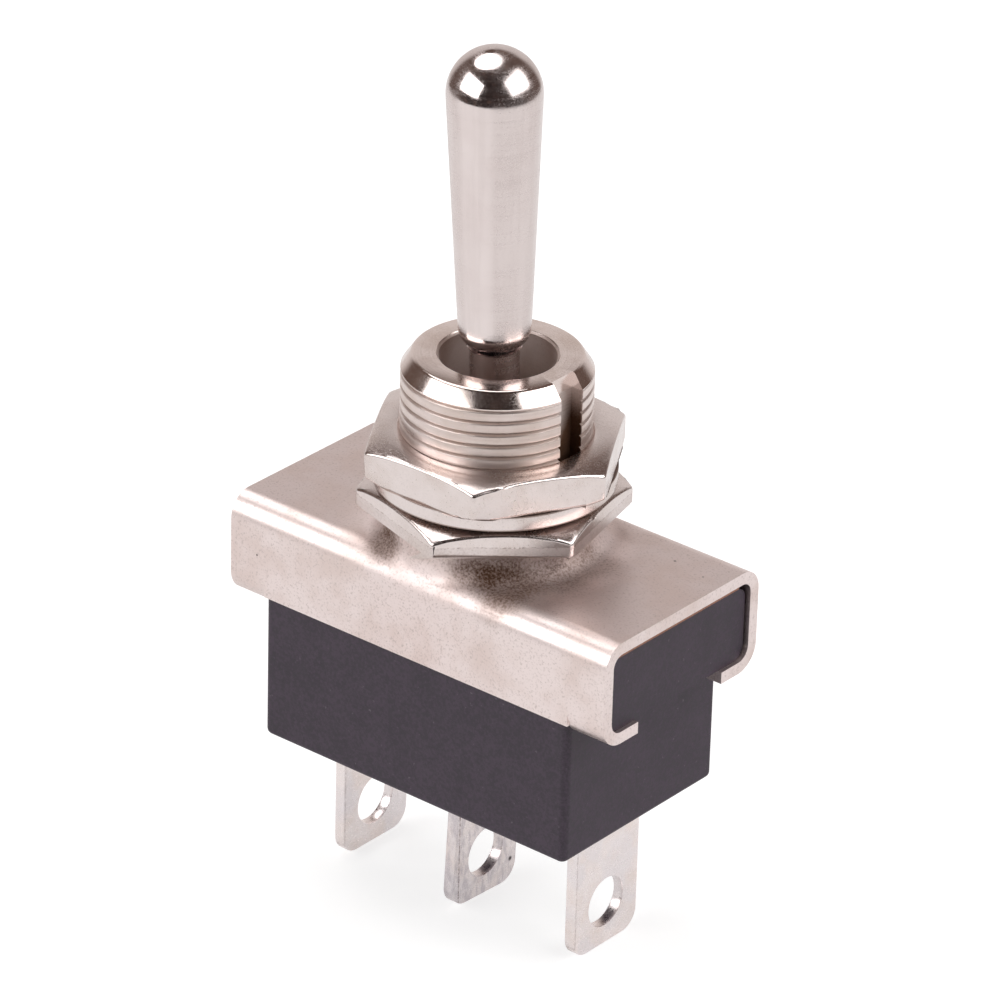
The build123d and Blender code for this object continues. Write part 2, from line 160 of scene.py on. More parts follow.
def modify(piece, kind, **settings):
    """Put a modifier on a piece and apply it."""
    take(piece)
    step = piece.modifiers.new(kind.lower(), kind)
    for key, value in settings.items():
        setattr(step, key, value)
    bpy.ops.object.modifier_apply(modifier=step.name)
    return piece


def machine(piece, tool, operation="DIFFERENCE"):
    """Cut, trim or join a piece with a tool, which is used up."""
    modify(piece, "BOOLEAN", operation=operation, object=tool, solver="EXACT")
    bpy.data.objects.remove(tool)
    return piece


def round_edges(piece, width, segments=2, angle=30.0):
    return modify(
        piece,
        "BEVEL",
        width=width * MM,
        segments=segments,
        limit_method="ANGLE",
        angle_limit=radians(angle),
        use_clamp_overlap=True,
    )


def weld(piece, reach):
    """Merge points closer than the reach, in millimetres."""
    take(piece)
    bpy.ops.object.mode_set(mode="EDIT")
    bpy.ops.mesh.select_all(action="SELECT")
    bpy.ops.mesh.remove_doubles(threshold=reach * MM)
    bpy.ops.object.mode_set(mode="OBJECT")
    return piece


def smooth(piece, angle=32.0):
    """Shade smooth up to an angle, the flats keeping their own direction."""
    take(piece)
    bpy.ops.object.shade_smooth_by_angle(angle=radians(angle))
    return modify(piece, "WEIGHTED_NORMAL", keep_sharp=True)


def settle(piece):
    """Bring the piece's origin to the frame's, its place into its mesh."""
    take(piece)
    bpy.ops.object.transform_apply(location=True, rotation=True, scale=True)
    return piece


def from_solid(name, node, edge, angle=35.0, segments=2):
    """A welded copy of a CAD solid, its flats made whole again and its sharp edges broken."""
    piece = bpy.data.objects.new(name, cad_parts[node].data.copy())
    bpy.context.scene.collection.objects.link(piece)
    piece.data.materials.clear()
    take(piece)
    bpy.ops.object.mode_set(mode="EDIT")
    bpy.ops.mesh.select_all(action="SELECT")
    bpy.ops.mesh.remove_doubles(threshold=WELD)
    bpy.ops.mesh.dissolve_limited(angle_limit=radians(0.6))
    bpy.ops.mesh.normals_make_consistent(inside=False)
    bpy.ops.object.mode_set(mode="OBJECT")
    if piece.data.has_custom_normals:
        bpy.ops.mesh.customdata_custom_splitnormals_clear()
    round_edges(piece, edge, segments, angle)
    return smooth(piece, angle)


def fit(piece, node, body, material):
    """Hang a finished piece on its body in place of its CAD node."""
    piece.data.materials.clear()
    piece.data.materials.append(material)
    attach(piece, body)
    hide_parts(node)
    return piece


# Finishes


def add(tree, kind, inputs=None, **settings):
    """Add a node with its settings and input values; an input given as a socket is wired."""
    node = tree.nodes.new(kind)
    for key, value in settings.items():
        setattr(node, key, value)
    for key, value in (inputs or {}).items():
        if isinstance(value, bpy.types.NodeSocket):
            tree.links.new(value, node.inputs[key])
        else:
            node.inputs[key].default_value = value
    return node


def new_finish(name, **shader_values):
    """An empty node material with its shader; returns the material, its tree and the shader."""
    material = bpy.data.materials.new(name)
    material.use_nodes = True
    tree = material.node_tree
    tree.nodes.clear()
    shader = add(tree, "ShaderNodeBsdfPrincipled")
    for key, value in shader_values.items():
        shader.inputs[key.replace("_", " ")].default_value = value
    out = add(tree, "ShaderNodeOutputMaterial")
    tree.links.new(shader.outputs["BSDF"], out.inputs["Surface"])
    return material, tree, shader


def place_of(tree, scale=(1, 1, 1), lean=0.0):
    """The point on the object, turned upright on the lever's axis if a lean is given."""
    coords = add(tree, "ShaderNodeTexCoord")
    if lean:
        foot = Matrix.Rotation(radians(lean), 3, "Y") @ Vector((0, 0, -PIVOT_Z * MM))
        settings = {"Location": foot, "Rotation": (0, radians(lean), 0)}
        upright = add(tree, "ShaderNodeMapping", {"Vector": coords.outputs["Object"], **settings})
        source = upright.outputs["Vector"]
    else:
        source = coords.outputs["Object"]
    return add(tree, "ShaderNodeMapping", {"Vector": source, "Scale": scale}).outputs["Vector"]


def lathe_marks(tree, place, scale, detail=3.0):
    """Fine rings about the Z axis, as a lathe leaves them on ends and on barrels."""
    flat = add(tree, "ShaderNodeVectorMath", {0: place, 1: (1, 1, 0)}, operation="MULTIPLY")
    reach = add(tree, "ShaderNodeVectorMath", {0: flat.outputs[0]}, operation="LENGTH")
    parts = add(tree, "ShaderNodeSeparateXYZ", {0: place})
    rings = add(tree, "ShaderNodeCombineXYZ", {0: reach.outputs["Value"], 1: parts.outputs[2]})
    noise = {"Vector": rings.outputs[0], "Scale": scale, "Detail": detail, "Roughness": 0.6}
    return add(tree, "ShaderNodeTexNoise", noise).outputs["Fac"]


def speckle(tree, place, scale, detail=4.0, roughness=0.6):
    noise = {"Vector": place, "Scale": scale, "Detail": detail, "Roughness": roughness}
    return add(tree, "ShaderNodeTexNoise", noise).outputs["Fac"]


def spread(tree, value, low, high, to_low, to_high):
    """Map a value onto a range, held at its ends."""
    ends = {"Value": value, "From Min": low, "From Max": high, "To Min": to_low, "To Max": to_high}
    return add(tree, "ShaderNodeMapRange", ends, interpolation_type="SMOOTHSTEP").outputs["Result"]


def blend_colour(tree, amount, first, second):
    mix = add(tree, "ShaderNodeMix", {"Factor": amount}, data_type="RGBA")
    for index, colour in ((6, first), (7, second)):
        if isinstance(colour, bpy.types.NodeSocket):
            tree.links.new(colour, mix.inputs[index])
        else:
            mix.inputs[index].default_value = (*colour, 1)
    return mix.outputs[2]


def times(tree, first, second):
    return add(tree, "ShaderNodeMath", {0: first, 1: second}, operation="MULTIPLY").outputs[0]


def plus(tree, first, second):
    return add(tree, "ShaderNodeMath", {0: first, 1: second}, operation="ADD").outputs[0]


def relief(tree, shader, height, strength, depth):
    """Bump of the given depth in millimetres."""
    settings = {"Height": height, "Strength": strength, "Distance": depth * MM}
    bump = add(tree, "ShaderNodeBump", settings)
    tree.links.new(bump.outputs["Normal"], shader.inputs["Normal"])


def near(tree, place, centre, reach):
    """How near a point is to a spot: 1 on it, 0 past its reach; all in millimetres."""
    spot = tuple(c * MM for c in centre)
    ends = {0: place, 1: spot}
    away = add(tree, "ShaderNodeVectorMath", ends, operation="DISTANCE").outputs["Value"]
    return spread(tree, away, 0.3 * reach * MM, reach * MM, 1, 0)


def past_level(tree, value, level, band):
    """1 within a band about a level, fading out to 0 over the same width; in millimetres."""
    off = add(tree, "ShaderNodeMath", {0: value, 1: level * MM}, operation="SUBTRACT").outputs[0]
    off = add(tree, "ShaderNodeMath", {0: off}, operation="ABSOLUTE").outputs[0]
    return spread(tree, off, 0.5 * band * MM, 1.5 * band * MM, 1, 0)


def radius_of(tree, place):
    flat = add(tree, "ShaderNodeVectorMath", {0: place, 1: (1, 1, 0)}, operation="MULTIPLY")
    return add(tree, "ShaderNodeVectorMath", {0: flat.outputs[0]}, operation="LENGTH").outputs["Value"]


def nickel(
    name,
    bright,
    tarnish,
    gloss,
    grain,
    grain_size,
    worn=0.0,
    marks=0.0,
    marks_size=4000.0,
    lean=0.0,
    grime_and_shade=None,
    spots=(),
):
    """Nickel plate: cloudy colour, satin grain, and lathe marks where marks is above 0.

    worn opens the pores; grime_and_shade gives how much a point is darkened by dirt or by painted shade, and
    how much duller; spots are pits.
    """
    material, tree, shader = new_finish(name, Metallic=1.0)
    place = place_of(tree, lean=lean)
    clouds = speckle(tree, place, 260.0, 3.0)
    fine = speckle(tree, place, grain_size, 4.0, 0.7)
    tone = spread(tree, clouds, 0.38, 0.68, 0.0, 1.0)
    colour = blend_colour(tree, tone, bright, tarnish)
    pores = spread(tree, fine, 0.64 - 0.13 * worn, 0.80 - 0.12 * worn, 0.0, 0.35 + 0.3 * worn)
    dark = tuple(0.72 * c for c in tarnish)
    colour = blend_colour(tree, pores, colour, dark)
    rough = spread(tree, fine, 0.3, 0.7, gloss - 0.05, gloss + 0.06)
    rough = plus(tree, rough, spread(tree, clouds, 0.35, 0.7, -0.02, 0.04))
    if grime_and_shade:
        dirt_and_shade, dull = grime_and_shade(tree, place_of(tree), fine)
        # Real dirt and painted shade alike blend the colour to dark brown here.
        colour = blend_colour(tree, dirt_and_shade, colour, (0.15, 0.08, 0.05))
        rough = plus(tree, rough, plus(tree, times(tree, dirt_and_shade, 0.3), dull))
    for centre, reach in spots:
        colour = blend_colour(tree, near(tree, place_of(tree), centre, reach), colour, (0.12, 0.09, 0.08))
    tree.links.new(colour, shader.inputs["Base Color"])
    height = times(tree, fine, 1.0 - marks)
    if marks:
        rings = lathe_marks(tree, place, marks_size)
        height = plus(tree, height, times(tree, rings, marks))
        rough = plus(tree, rough, spread(tree, rings, 0.35, 0.7, -0.03, 0.05))
    tree.links.new(rough, shader.inputs["Roughness"])
    relief(tree, shader, height, grain, 0.012)
    return material


def bat_streaks_and_sheen(tree, place, fine):
    """Faint streaks along the bat, with painted sheen: brighter down its front, darker and duller on its
    sides.
    """
    place = place_of(tree, lean=REST_LEAN)
    flat = add(tree, "ShaderNodeVectorMath", {0: place, 1: (1, 1, 0)}, operation="MULTIPLY").outputs[0]
    facing = add(tree, "ShaderNodeVectorMath", {0: flat}, operation="NORMALIZE").outputs[0]
    front = {0: facing, 1: (0.242, -0.970, 0.0)}
    front = add(tree, "ShaderNodeVectorMath", front, operation="DOT_PRODUCT").outputs["Value"]
    streaks = speckle(tree, place_of(tree, (1.0, 1.0, 0.04), REST_LEAN), 1500.0, 3.0)
    # Painted shade on the bat's sides, leaving a painted sheen down its front.
    sides_shade_and_dull = spread(tree, front, 0.86, 0.99, 0.085, 0.0)
    return plus(tree, sides_shade_and_dull, spread(tree, streaks, 0.4, 0.66, 0.0, 0.05)), sides_shade_and_dull


def bush_grime_and_shade(tree, place, fine):
    """Painted shade, brown in the thread's roots, inside the bore and above all low in the keyway; lathe
    scores on the thread, which is duller.
    """
    parts = add(tree, "ShaderNodeSeparateXYZ", {0: place})
    reach = radius_of(tree, place)
    outside = spread(tree, reach, 4.6 * MM, 4.9 * MM, 0, 1)
    threaded = times(tree, outside, spread(tree, parts.outputs[2], 3.9 * MM, 4.05 * MM, 1, 0))
    # Painted shade in the thread's roots.
    root = times(tree, spread(tree, reach, 5.78 * MM, 5.9 * MM, 0.22, 0.0), threaded)
    across = add(tree, "ShaderNodeMath", {0: parts.outputs[1]}, operation="ABSOLUTE").outputs[0]
    # Painted shade in the keyway, deepest low down.
    slot = times(tree, spread(tree, across, 1.03 * MM, 1.05 * MM, 1, 0), outside)
    slot = times(tree, slot, spread(tree, parts.outputs[0], 4.5 * MM, 4.7 * MM, 0, 1))
    slot = times(tree, slot, spread(tree, reach, 5.86 * MM, 5.9 * MM, 1, 0))
    depth = plus(tree, parts.outputs[2], times(tree, parts.outputs[1], -1.6))
    slot = times(tree, slot, spread(tree, depth, -0.6 * MM, 2.7 * MM, 0.95, 0.0))
    # Painted shade inside the bore, which also dulls it.
    bored = spread(tree, reach, 3.7 * MM, 3.8 * MM, 1.0, 0)
    scores = times(tree, spread(tree, lathe_marks(tree, place, 9000.0), 0.42, 0.62, 0, 0.08), threaded)
    dirt_and_shade = plus(tree, plus(tree, root, plus(tree, slot, scores)), times(tree, bored, 0.12))
    return dirt_and_shade, plus(tree, times(tree, threaded, 0.17), times(tree, bored, 0.42))


def stack_wear_and_shade(tree, place, fine):
    """Painted shade in dark lines where washer and nuts meet, and the torn lower part of the punched back nut.
    """
    height = add(tree, "ShaderNodeSeparateXYZ", {0: place}).outputs[2]
    # Painted shade: dark lines at the two joints of the stack.
    lines = plus(
        tree,
        past_level(tree, height, FRONT_NUT_BOTTOM, 0.07),
        past_level(tree, height, WASHER_BOTTOM, 0.08),
    )
    wander = spread(tree, speckle(tree, place, 1300.0, 2.0), 0.3, 0.7, -0.035 * MM, 0.035 * MM)
    edge = plus(tree, height, wander)
    side = spread(tree, radius_of(tree, place), 6.9 * MM, 7.2 * MM, 0, 1)
    torn = times(tree, spread(tree, edge, -4.62 * MM, -4.56 * MM, 1, 0), side)
    tear = times(tree, past_level(tree, edge, -4.56, 0.03), side)
    tear = times(tree, tear, spread(tree, fine, 0.45, 0.6, 0.0, 0.5))
    rubbed = times(tree, torn, spread(tree, fine, 0.4, 0.65, 0.02, 0.12))
    return plus(tree, times(tree, lines, 0.7), plus(tree, tear, rubbed)), times(tree, torn, 0.1)


# Patches of painted dark reflection about the boss: centre, reach and depth.
BOSS_SHADE_PATCHES = (
    ((5.8, -5.5, -7.2), 2.9, 0.74),
    ((3.1, -5.5, -7.0), 2.2, 0.52),
    ((7.5, -2.6, -7.2), 2.5, 0.52),
    ((7.8, 0.6, -7.2), 2.3, 0.4),
    ((-3.4, -5.8, -7.2), 2.1, 0.6),
)


def boss_painted_shade(tree, place, fine):
    """Painted dark reflection in brown on the drawn flank of the boss and in patches at its foot."""
    height = add(tree, "ShaderNodeSeparateXYZ", {0: place}).outputs[2]
    # Painted dark reflection along the drawn flank.
    brown = spread(tree, height, -7.12 * MM, -6.4 * MM, 0.0, 0.2)
    for centre, reach, depth in BOSS_SHADE_PATCHES:
        brown = plus(tree, brown, times(tree, near(tree, place, centre, reach), depth))
    foot = spread(tree, radius_of(tree, place), 6.5 * MM, 10.0 * MM, 0.22, 0)
    return times(tree, brown, spread(tree, fine, 0.35, 0.65, 0.8, 1.2)), foot


lever_nickel = nickel(
    "lever nickel",
    (0.785, 0.705, 0.69),
    (0.755, 0.67, 0.655),
    0.11,
    0.08,
    9000.0,
    marks=0.45,
    marks_size=3500.0,
    lean=REST_LEAN,
    grime_and_shade=bat_streaks_and_sheen,
    spots=(((1.91, -0.97, 8.97), 0.13),),
)
bush_nickel = nickel(
    "turned nickel",
    (0.80, 0.70, 0.665),
    (0.71, 0.60, 0.55),
    0.17,
    0.14,
    7000.0,
    worn=0.4,
    marks=0.5,
    marks_size=6000.0,
    grime_and_shade=bush_grime_and_shade,
)
nut_nickel = nickel(
    "nut nickel",
    (0.78, 0.70, 0.68),
    (0.69, 0.60, 0.565),
    0.23,
    0.16,
    7000.0,
    worn=0.5,
    grime_and_shade=stack_wear_and_shade,
)
frame_nickel = nickel(
    "satin nickel sheet",
    (0.85, 0.745, 0.725),
    (0.765, 0.645, 0.61),
    0.38,
    0.24,
    6500.0,
    worn=1.0,
    grime_and_shade=boss_painted_shade,
    spots=(
        ((10.88, 4.33, -7.2), 0.12),
        ((13.43, 3.86, -7.2), 0.09),
        ((5.21, -4.49, -7.2), 0.08),
        ((-12.83, -7.5, -10.64), 0.10),
    ),
)


def tinned_lug():
    """Hot-tinned brass: pale, lumpy, brown where the tin is thin; the middle lug is scraped grey."""
    material, tree, shader = new_finish("tinned brass", Metallic=1.0)
    place = place_of(tree)
    lumps = speckle(tree, place, 700.0, 3.0)
    fine = speckle(tree, place, 5200.0, 4.0)
    amount = spread(tree, lumps, 0.35, 0.75, 0.0, 1.0)
    base = blend_colour(tree, amount, (0.93, 0.85, 0.835), (0.88, 0.775, 0.735))
    blush = spread(tree, speckle(tree, place, 330.0, 2.0), 0.45, 0.62, 0.0, 0.6)
    base = blend_colour(tree, blush, base, (0.84, 0.79, 0.81))
    thin = spread(tree, fine, 0.62, 0.78, 0.0, 0.22)
    base = blend_colour(tree, thin, base, (0.5, 0.38, 0.31))
    across = add(tree, "ShaderNodeSeparateXYZ", {0: place}).outputs[0]
    middle = past_level(tree, across, 0.0, 1.0)
    scrapes = speckle(tree, place_of(tree, (1.0, 1.0, 0.4)), 2400.0, 4.0)
    scraped = times(tree, middle, spread(tree, scrapes, 0.4, 0.64, 0.15, 0.7))
    base = blend_colour(tree, scraped, base, (0.55, 0.50, 0.53))
    along = add(tree, "ShaderNodeSeparateXYZ", {0: place}).outputs[1]
    sheared = times(tree, past_level(tree, along, -2.98, 0.05), spread(tree, fine, 0.4, 0.6, 0.2, 1))
    sheared = times(tree, sheared, spread(tree, middle, 0, 1, 0.3, 0.7))
    base = blend_colour(tree, sheared, base, (0.16, 0.09, 0.08))
    speck = near(tree, place, (0.38, 2.13, -31.6), 0.22)
    tree.links.new(blend_colour(tree, speck, base, (0.08, 0.07, 0.07)), shader.inputs["Base Color"])
    tree.links.new(spread(tree, fine, 0.3, 0.7, 0.24, 0.38), shader.inputs["Roughness"])
    height = plus(tree, times(tree, lumps, 1.6), times(tree, fine, 0.4))
    height = plus(tree, height, times(tree, times(tree, scrapes, middle), 0.9))
    relief(tree, shader, height, 0.35, 0.02)
    return material


def phenolic():
    """Black phenolic moulding: dull, fine-grained, faintly mottled, flecked paler with dust."""
    material, tree, shader = new_finish("black phenolic", IOR=1.55)
    place = place_of(tree)
    mottle = speckle(tree, place, 420.0, 4.0)
    grain = speckle(tree, place, 5200.0, 5.0, 0.7)
    tone = plus(tree, times(tree, mottle, 0.18), times(tree, grain, 0.82))
    tone = spread(tree, tone, 0.40, 0.61, 0.0, 1.0)
    base = blend_colour(tree, tone, (0.016, 0.008, 0.018), (0.045, 0.027, 0.047))
    dust = spread(tree, speckle(tree, place, 2600.0, 2.0), 0.70, 0.76, 0.0, 0.35)
    tree.links.new(blend_colour(tree, dust, base, (0.15, 0.13, 0.14)), shader.inputs["Base Color"])
    tree.links.new(spread(tree, grain, 0.3, 0.7, 0.48, 0.66), shader.inputs["Roughness"])
    relief(tree, shader, plus(tree, times(tree, grain, 0.7), times(tree, mottle, 0.8)), 0.5, 0.02)
    return material


def plain_metal(name, first, second, gloss, size):
    material, tree, shader = new_finish(name, Metallic=1.0)
    place = place_of(tree)
    cloud = speckle(tree, place, size, 3.0)
    fine = speckle(tree, place, 14 * size, 4.0)
    colour = blend_colour(tree, spread(tree, cloud, 0.35, 0.65, 0.0, 1.0), first, second)
    tree.links.new(colour, shader.inputs["Base Color"])
    tree.links.new(spread(tree, fine, 0.3, 0.7, gloss - 0.06, gloss + 0.08), shader.inputs["Roughness"])
    relief(tree, shader, fine, 0.2, 0.01)
    return material


def insulator(name, first, second, gloss, size, fleck):
    """Nylon or vulcanised fibre: a soft body with flecks at the given size."""
    material, tree, shader = new_finish(name, IOR=1.5)
    place = place_of(tree)
    fibres = add(tree, "ShaderNodeMapping", {"Vector": place, "Scale": (1.0, 3.0, 1.0)}).outputs[0]
    fine = speckle(tree, fibres, size, 4.0)
    colour = blend_colour(tree, spread(tree, fine, 0.5 - fleck, 0.5 + fleck, 0.0, 1.0), first, second)
    tree.links.new(colour, shader.inputs["Base Color"])
    tree.links.new(spread(tree, fine, 0.3, 0.7, gloss - 0.08, gloss + 0.08), shader.inputs["Roughness"])
    relief(tree, shader, fine, 0.3, 0.015)
    return material


lug_tin = tinned_lug()
base_phenolic = phenolic()
pin_steel = plain_metal("pin steel", (0.50, 0.48, 0.46), (0.60, 0.58, 0.56), 0.28, 700.0)
spring_steel = plain_metal("spring steel", (0.42, 0.40, 0.39), (0.56, 0.53, 0.50), 0.30, 1500.0)
rocker_brass = plain_metal("rocker brass", (0.80, 0.62, 0.30), (0.66, 0.46, 0.20), 0.30, 500.0)
contact_silver = plain_metal("contact silver", (0.88, 0.86, 0.82), (0.72, 0.68, 0.62), 0.26, 900.0)
plunger_nylon = insulator("plunger nylon", (0.78, 0.75, 0.67), (0.70, 0.66, 0.57), 0.42, 900.0, 0.25)
card_fibre = insulator("card fibre", (0.24, 0.10, 0.06), (0.36, 0.17, 0.10), 0.62, 2600.0, 0.15)


# Lever


def make_lever():
    """Bat, neck, ball and shank in one turned piece, bored for the spring and leaning at rest."""
    reach = TIP_CENTRE - BAT_START - BAT_ROUND
    taper = asin(TIP_R / hypot(BAT_LOW_R, reach)) - atan2(BAT_LOW_R, reach)
    taper_deg = taper * 180 / pi
    low_edge = -asin(sqrt(BALL_R**2 - SHANK_R**2) / BALL_R) * 180 / pi
    high_edge = asin(sqrt(BALL_R**2 - NECK_R**2) / BALL_R) * 180 / pi
    outline = [
        (0, -SPRING_SEAT),
        (SPRING_BORE_R, -SPRING_SEAT),
        (SPRING_BORE_R, -SHANK_END),
        (SHANK_R - SHANK_CHAMFER, -SHANK_END),
        (SHANK_R, -SHANK_END + SHANK_CHAMFER),
    ]
    outline += arc((0, 0), BALL_R, low_edge, high_edge, 30)
    outline += [(NECK_R, BAT_START - 0.15), (NECK_R + 0.15, BAT_START)]
    outline += arc((BAT_LOW_R - BAT_ROUND, BAT_START + BAT_ROUND), BAT_ROUND, -85, 0, 8)
    outline += arc((0, TIP_CENTRE), TIP_R, -taper_deg, 90, 30)
    outline[-1] = (0, TIP_CENTRE + TIP_R)
    piece = turn("lever_bat", outline, PIVOT_Z)
    pivot = Vector((0, 0, PIVOT_Z * MM))
    lean = Matrix.Rotation(radians(-REST_LEAN), 4, "Y")
    piece.matrix_world = Matrix.Translation(pivot) @ lean @ Matrix.Translation(piece.location - pivot)
    settle(piece)
    bpy.ops.object.select_all(action="DESELECT")
    across = (radians(90), 0, 0)
    bpy.ops.mesh.primitive_cylinder_add(
        vertices=48, radius=PIN_R * MM, depth=3 * BALL_R * MM, location=pivot, rotation=across
    )
    pin_hole = settle(named("pin_hole"))
    machine(piece, pin_hole)
    return smooth(piece)


fit(make_lever(), "lever", "lever", lever_nickel)


# Threaded bush


def thread_rod(bottom, top):
    """A solid rod with the bush's right-hand thread, wound turn by turn and closed at both ends."""
    crest = THREAD_PITCH / 2
    depth = THREAD_R - THREAD_ROOT_R
    groove = [(0.0, 0.0), (0.16, 0.03), (0.62, 0.075), (0.88, 0.11), (0.97, 0.145), (1.0, 0.2)]
    rise = [(THREAD_ROOT_R + part * depth, up) for part, up in groove]
    pitch_line = rise + [(THREAD_R, crest)] + [(r, THREAD_PITCH - up) for r, up in reversed(rise)]
    bpy.ops.object.select_all(action="DESELECT")
    start_z = bottom - 1.5 * THREAD_PITCH
    bpy.ops.mesh.primitive_plane_add(size=MM, location=(THREAD_ROOT_R * MM, 0, start_z * MM))
    piece = named("thread_rod")
    bpy.ops.object.mode_set(mode="EDIT")
    bpy.ops.mesh.select_all(action="SELECT")
    bpy.ops.mesh.merge(type="CENTER")
    for here, there in zip(pitch_line, pitch_line[1:]):
        step = ((there[0] - here[0]) * MM, 0, (there[1] - here[1]) * MM)
        bpy.ops.mesh.extrude_vertices_move(TRANSFORM_OT_translate={"value": step})
    bpy.ops.object.mode_set(mode="OBJECT")
    settle(piece)
    turns = int((top - bottom) / THREAD_PITCH) + 4
    modify(
        piece,
        "SCREW",
        axis="Z",
        angle=2 * pi,
        screw_offset=THREAD_PITCH * MM,
        iterations=turns,
        steps=TURN_STEPS,
        render_steps=TURN_STEPS,
        use_normal_calculate=True,
    )
    bpy.ops.object.mode_set(mode="EDIT")
    bpy.ops.mesh.select_all(action="SELECT")
    bpy.ops.mesh.remove_doubles(threshold=WELD)
    for level, outwards in ((bottom, -1), (top, 1)):
        bpy.ops.mesh.select_all(action="SELECT")
        bpy.ops.mesh.bisect(
            plane_co=(0, 0, level * MM),
            plane_no=(0, 0, outwards),
            use_fill=True,
            clear_outer=True,
            threshold=1e-8,
        )
    bpy.ops.mesh.select_all(action="SELECT")
    bpy.ops.mesh.normals_make_consistent(inside=False)
    bpy.ops.object.mode_set(mode="OBJECT")
    return piece


def make_bush():
    """Thread, tenon and lip, trimmed to the chamfered blank, bored, seated, keyed and slotted."""
    piece = turn(
        "threaded_bush",
        [
            (0, BUSH_BOTTOM),
            (LIP_R, BUSH_BOTTOM),
            (LIP_R, LIP_TOP),
            (TENON_R, LIP_TOP),
            (TENON_R, BOSS_TOP),
            (ENGAGED_R, BOSS_TOP),
            (ENGAGED_R, -NUT_BORE_CHAMFER),
            (0, -NUT_BORE_CHAMFER),
        ],
    )
    machine(piece, thread_rod(-NUT_BORE_CHAMFER - 0.02, PLAIN_COLLAR_Z + 0.12), "UNION")
    run_out = THREAD_R - PLAIN_COLLAR_R + 0.25
    collar = [
        (0, PLAIN_COLLAR_Z - run_out),
        (PLAIN_COLLAR_R - 0.25, PLAIN_COLLAR_Z - run_out),
        (PLAIN_COLLAR_R, PLAIN_COLLAR_Z),
        (PLAIN_COLLAR_R, FREE_THREAD + 0.3),
        (0, FREE_THREAD + 0.3),
    ]
    machine(piece, turn("plain_collar", collar), "UNION")
    past = 1.2
    blank = turn(
        "blank",
        [
            (0, BUSH_BOTTOM - past),
            (THREAD_R + past, BUSH_BOTTOM - past),
            (THREAD_R + past, FREE_THREAD - CHAMFER_HEIGHT * (1 + past / BUSH_CHAMFER)),
            (THREAD_R - BUSH_CHAMFER, FREE_THREAD),
            (0, FREE_THREAD),
        ],
    )
    round_edges(blank, 0.14, 4, 25)
    machine(piece, blank, "INTERSECT")
    seat = arc((0, PIVOT_Z), SEAT_R, 0, asin(SEAT_RISE / SEAT_R) * 180 / pi, 8)
    cutter = turn(
        "bore_cutter",
        [(0, BUSH_BOTTOM - 1), (SEAT_R, BUSH_BOTTOM - 1)]
        + seat
        + [
            (BORE_R, FREE_THREAD - BORE_CHAMFER),
            (BORE_R + 3 * BORE_CHAMFER, FREE_THREAD + 2 * BORE_CHAMFER),
            (0, FREE_THREAD + 2 * BORE_CHAMFER),
        ],
    )
    machine(piece, cutter)
    half = KEYWAY_WIDTH / 2
    keyway = block("keyway_cutter", (KEYWAY_FLOOR_R, -half, BOSS_TOP), (8, half, FREE_THREAD + 1))
    machine(piece, keyway)
    bpy.ops.object.select_all(action="DESELECT")
    bpy.ops.mesh.primitive_cylinder_add(
        vertices=40,
        radius=(PIN_R + 0.05) * MM,
        depth=10.1 * MM,
        location=(0, 0, PIVOT_Z * MM),
        rotation=(radians(90), 0, 0),
    )
    machine(piece, settle(named("pin_seat")))
    slot_half = PIN_R + 0.05
    machine(piece, block("pin_slot", (-slot_half, -5.05, BUSH_BOTTOM - 1), (slot_half, 5.05, PIVOT_Z)))
    weld(piece, 0.001)
    return smooth(piece, 28)


fit(make_bush(), "bushing", "housing", bush_nickel)


# Nuts and washer


def make_nut(name, bottom, top, turned, under_r, top_r):
    """Hexagon bar with turned, eased crowns and a chamfered bore."""
    bpy.ops.object.select_all(action="DESELECT")
    bpy.ops.mesh.primitive_cylinder_add(
        vertices=6,
        radius=NUT_CORNER_R * MM,
        depth=(top - bottom + 0.4) * MM,
        location=(0, 0, (top + bottom) / 2 * MM),
        rotation=(0, 0, radians(turned - 30)),
    )
    piece = settle(named(name))
    round_edges(piece, 0.22, 4, 50)
    slope = radians(NUT_CHAMFER_ANGLE)
    past = NUT_CORNER_R + 0.6
    crown = [(0, bottom)]
    if under_r < NUT_CORNER_R:
        crown += [(under_r, bottom), (past, bottom + (past - under_r) * tan(slope))]
    else:
        crown += [(past, bottom)]
    start_r = top_r - CROWN_START
    run = NUT_CORNER_R - start_r
    fall = (NUT_CORNER_R - top_r) * tan(slope)
    sweep = 2 * atan2(fall, run)
    roll = run / sin(sweep)
    reach = sweep * 180 / pi
    crown += arc((start_r, top - roll), roll, 90 - 1.25 * reach, 90, 6)
    machine(piece, turn("crown", crown + [(0, top)]), "INTERSECT")
    rim = NUT_BORE_CHAMFER
    bore = turn(
        "nut_bore",
        [
            (0, bottom - rim),
            (ENGAGED_R + 2 * rim, bottom - rim),
            (ENGAGED_R, bottom + rim),
            (ENGAGED_R, top - rim),
            (ENGAGED_R + 2 * rim, top + rim),
            (0, top + rim),
        ],
    )
    machine(piece, bore)
    weld(piece, 0.06)
    modify(
        piece,
        "BEVEL",
        width=0.15 * MM,
        segments=3,
        limit_method="ANGLE",
        angle_limit=radians(24),
        use_clamp_overlap=False,
        loop_slide=False,
    )
    weld(piece, 0.002)
    return smooth(piece, 30)


